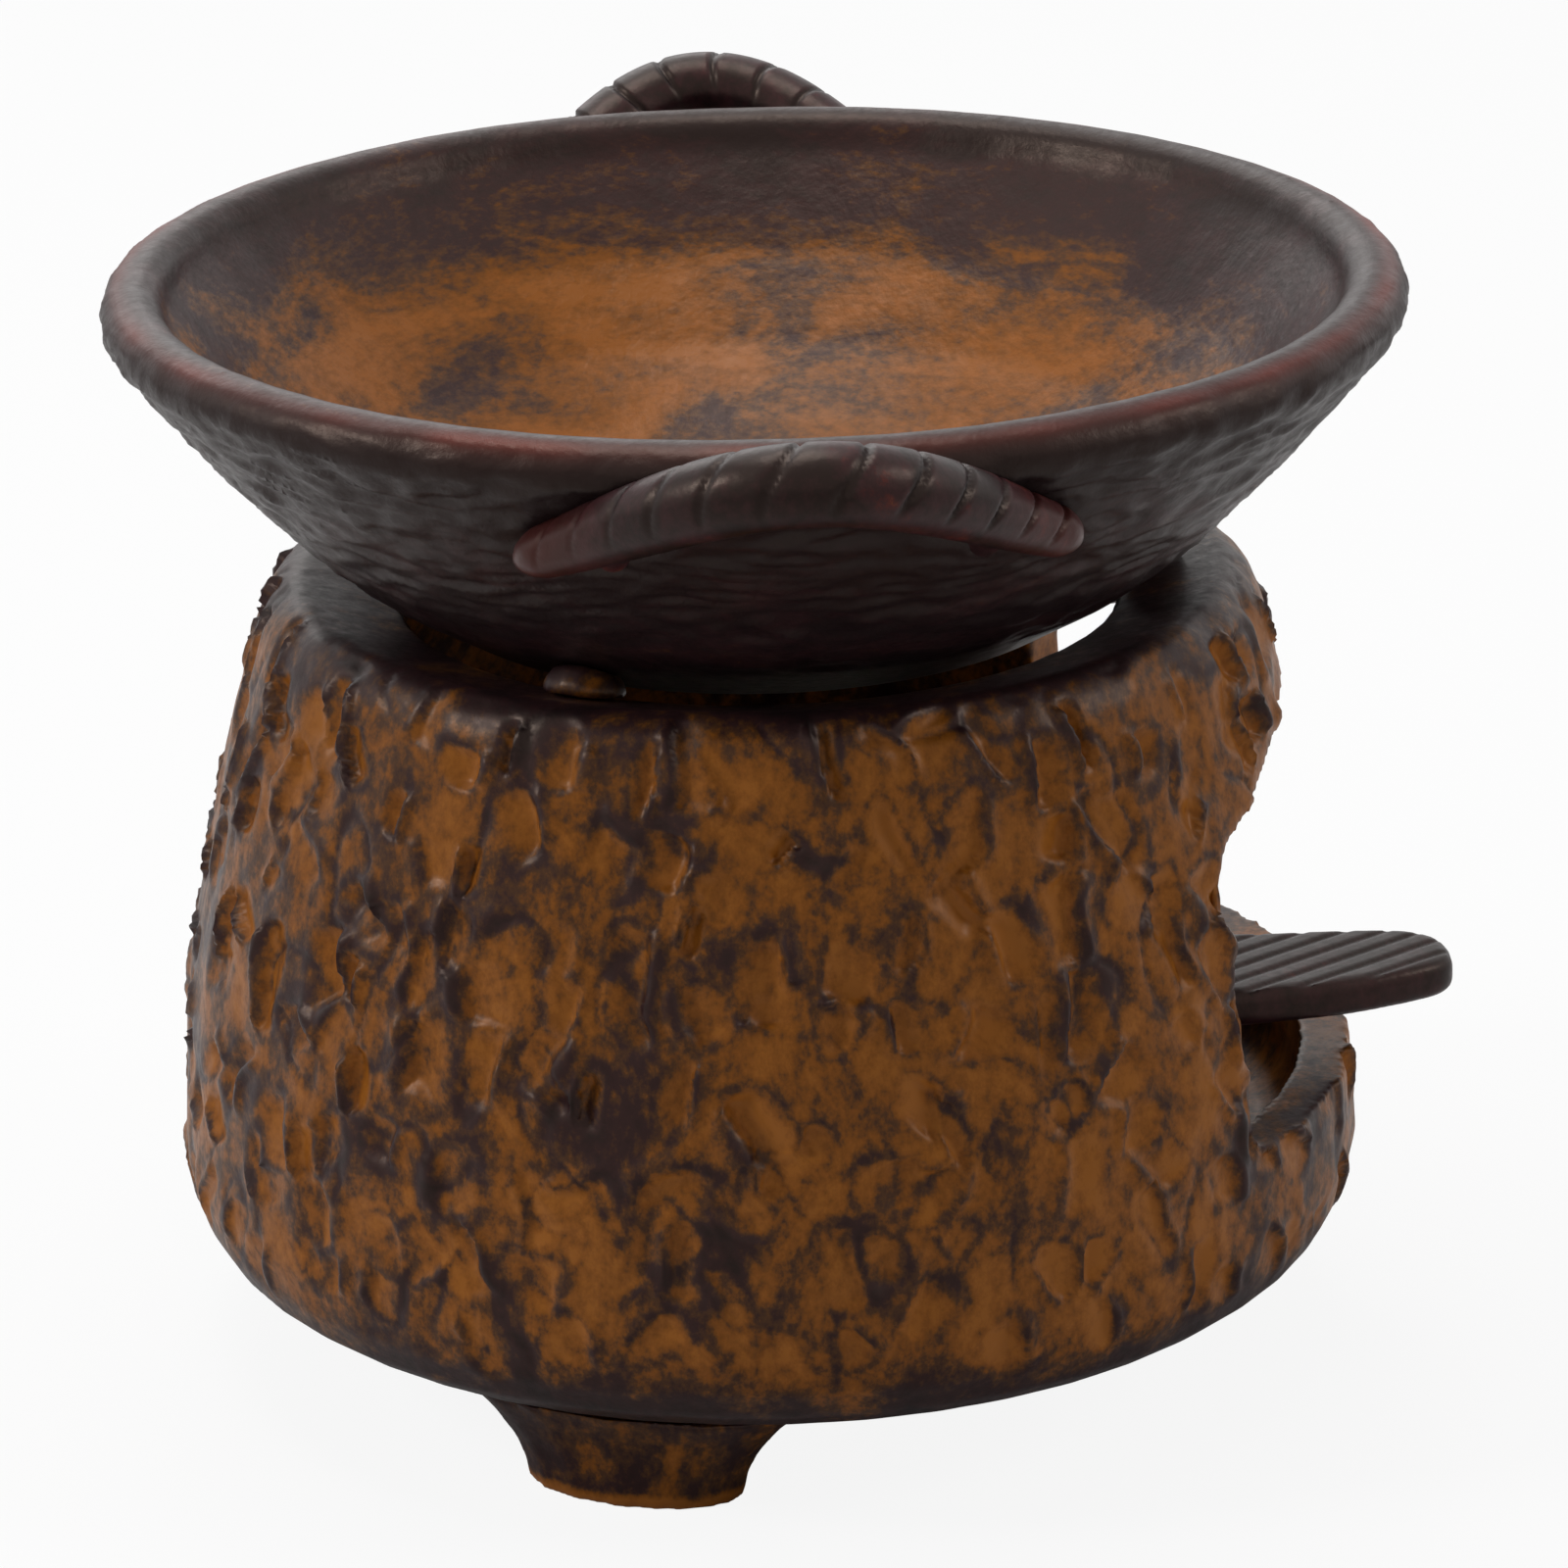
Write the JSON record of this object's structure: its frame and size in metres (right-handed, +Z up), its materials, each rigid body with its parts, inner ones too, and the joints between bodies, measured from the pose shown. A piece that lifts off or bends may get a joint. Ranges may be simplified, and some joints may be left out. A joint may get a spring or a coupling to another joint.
{
  "type": "tea warmer",
  "caption": "Footed ceramic stand with an arched window, a rope-handled dish resting on its mouth, and a loose tealight tray with a tongue.",
  "frame": {"origin": "centre of the whole object's box, on the plane that the feet stand on", "axes": "+Z up, +X along the line of the two rope handles, the arched window and the tray's tongue face -Y"},
  "size_m": [0.1304, 0.1127, 0.0986],
  "materials": {
    "glaze": "satin",
    "glaze_dark": "satin",
    "aluminium": "satin",
    "wax": "satin",
    "tin": "satin",
    "cotton": "matte"
  },
  "bodies": {
    "stand": {"base_shell": "glaze", "foot_right": "glaze", "foot_left": "glaze", "foot_front": "glaze", "rest_lug_right": "glaze", "rest_lug_left": "glaze", "rest_lug_front": "glaze"},
    "dish": {"dish_bowl": "glaze_dark", "dish_handle_right": "glaze_dark", "dish_handle_left": "glaze_dark"},
    "tray": {"candle_tray": "glaze_dark", "tray_tongue": "glaze_dark"},
    "tealight": {"tealight_cup": "aluminium", "tealight_wax": "wax", "wick_sustainer": "tin", "candle_wick": "cotton"}
  },
  "joints": [
    {"name": "dish_lift", "type": "slide", "parent": "stand", "child": "dish", "axis": [0, 0, 1], "range_m": [0, 0.04]},
    {"name": "tray_slide", "type": "slide", "parent": "stand", "child": "tray", "axis": [0, -0.9537, 0.3007], "range_m": [0, 0.09]},
    {"name": "tealight_lift", "type": "slide", "parent": "tray", "child": "tealight", "axis": [0, 0, 1], "range_m": [0, 0.016]}
  ]
}
